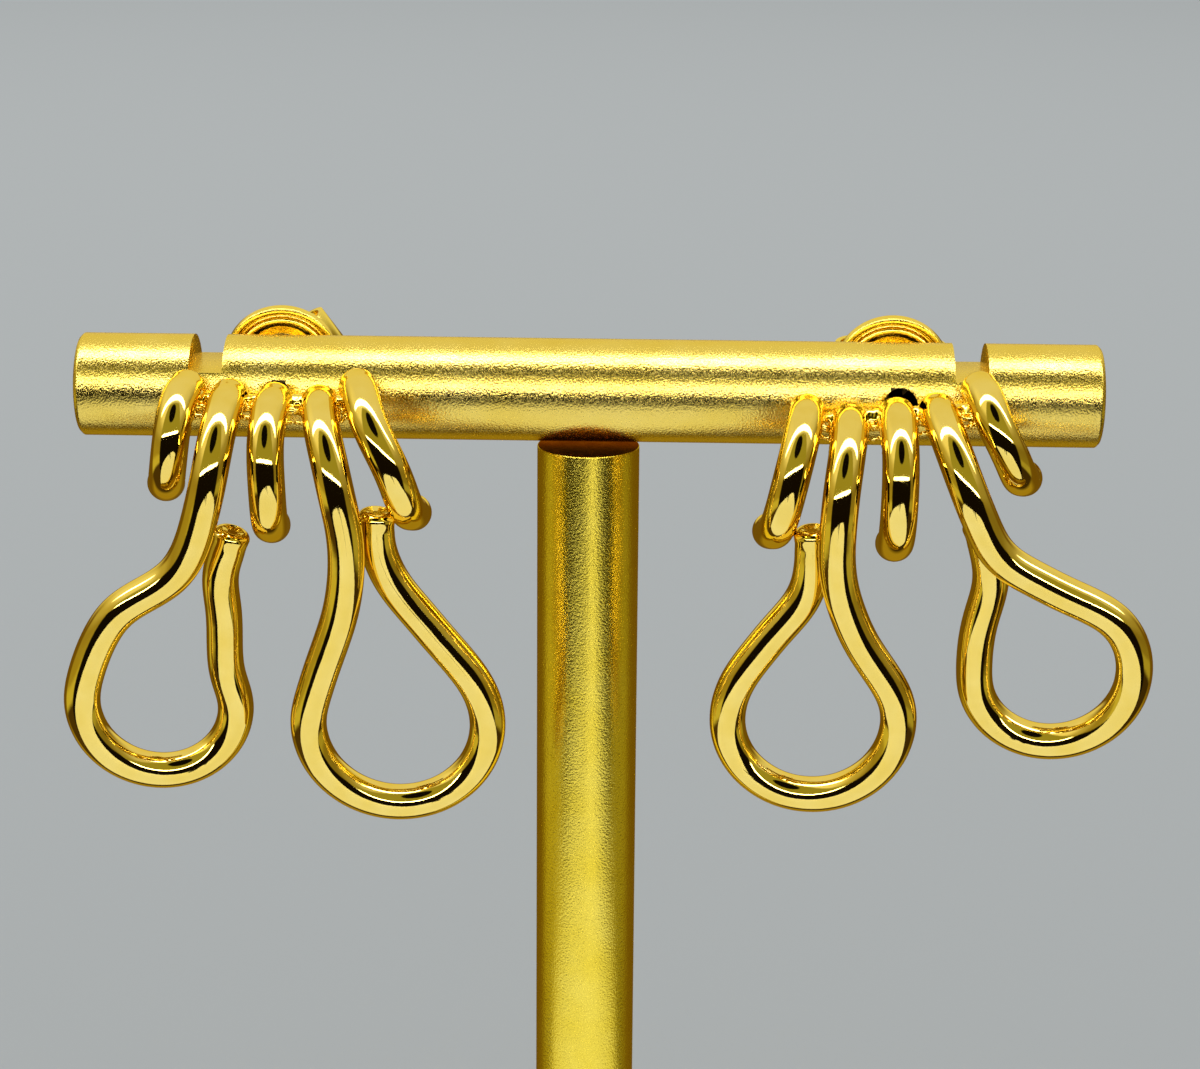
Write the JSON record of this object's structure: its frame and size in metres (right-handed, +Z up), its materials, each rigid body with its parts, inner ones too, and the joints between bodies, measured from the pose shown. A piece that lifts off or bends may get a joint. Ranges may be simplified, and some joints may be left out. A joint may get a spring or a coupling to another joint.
{
  "type": "pair of hoop earrings on a T-bar stand",
  "caption": "Pair of polished gold hoop earrings, bent wires ending in short curls and pear-shaped loops, hung by ear posts and clutches on a matt gold T-bar stand.",
  "frame": {"origin": "middle of the underside of the stand's round foot", "axes": "+X along the crossbar to the right of the picture's view, +Y to the back, +Z up"},
  "size_m": [0.0626, 0.05, 0.0731],
  "materials": {
    "matt_gold": "bead-blasted, gold anodised",
    "polished_gold": "mirror-polished gold plate"
  },
  "bodies": {
    "root": {"stand_base": "matt_gold", "stand_upright": "matt_gold", "stand_crossbar": "matt_gold", "left_earring": "polished_gold", "left_clutch_disc": "polished_gold", "left_clutch_scroll": "polished_gold", "right_earring": "polished_gold", "right_clutch_disc": "polished_gold", "right_clutch_scroll": "polished_gold"}
  },
  "joints": []
}
